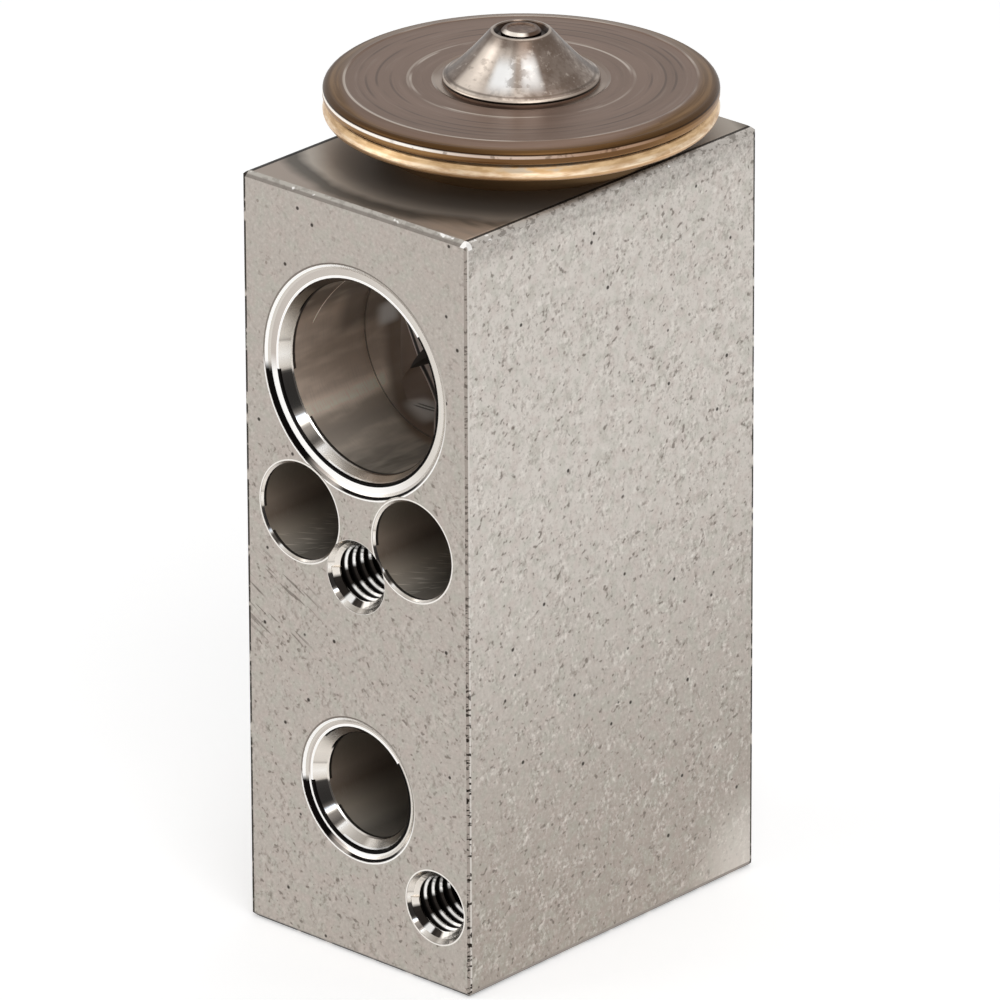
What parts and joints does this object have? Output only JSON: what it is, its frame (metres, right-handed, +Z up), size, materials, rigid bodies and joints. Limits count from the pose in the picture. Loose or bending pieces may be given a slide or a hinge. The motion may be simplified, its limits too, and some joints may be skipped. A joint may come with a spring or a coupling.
{
  "type": "expansion valve",
  "caption": "Aluminium block expansion valve for a vehicle air conditioner, with a round diaphragm head on top and ports through the block.",
  "frame": {"origin": "middle of the block's underside", "axes": "+Z up through the block to the head, -Y out of the port face, +X to the right seen from the port face"},
  "size_m": [0.034, 0.0383, 0.0802],
  "materials": {
    "block_aluminium": "matt, as extruded and sawn, with bright machined ports",
    "head_steel": "brown grey, with faint turned rings",
    "head_bronze": "yellow chromate",
    "plain_steel": "turned",
    "spring_steel": "bright drawn",
    "ball_steel": "polished",
    "rod_aluminium": "turned",
    "screw_brass": "turned",
    "seal_rubber": "moulded"
  },
  "bodies": {
    "block": {"valve_body": "block_aluminium", "head_seal": "seal_rubber", "head_lower_cover": "head_bronze", "diaphragm": "spring_steel", "head_upper_cover": "head_steel", "charge_plug": "head_steel", "rod_o_ring": "seal_rubber", "rod_seal_retainer": "spring_steel"},
    "valve_stem": {"pressure_pad": "plain_steel", "sensing_rod": "rod_aluminium", "operating_pin": "spring_steel", "valve_ball": "ball_steel", "ball_carrier": "plain_steel"},
    "screw_lead": {"screw_o_ring": "seal_rubber", "valve_spring": "spring_steel"},
    "screw": {"adjusting_screw": "screw_brass"}
  },
  "joints": [
    {"name": "pin_travel", "type": "slide", "parent": "block", "child": "valve_stem", "axis": [0, 0, 1], "range_m": [0, 0.0007], "stiffness_N_per_m": 8000, "springref_m": -0.002, "deforming": ["diaphragm"]},
    {"name": "screw_advance", "type": "slide", "parent": "block", "child": "screw_lead", "axis": [0, 0, 1], "range_m": [-0.001, 0.001], "deforming": ["valve_spring"]},
    {"name": "screw_turn", "type": "hinge", "parent": "screw_lead", "child": "screw", "pos_m": [0, 0.0027, 0.0014], "axis": [0, 0, 1], "range_deg": [-360, 360]}
  ],
  "couplings": [
    {"joint": "screw_advance", "follows": "screw_turn", "m_per_rad": 0.00015915}
  ]
}
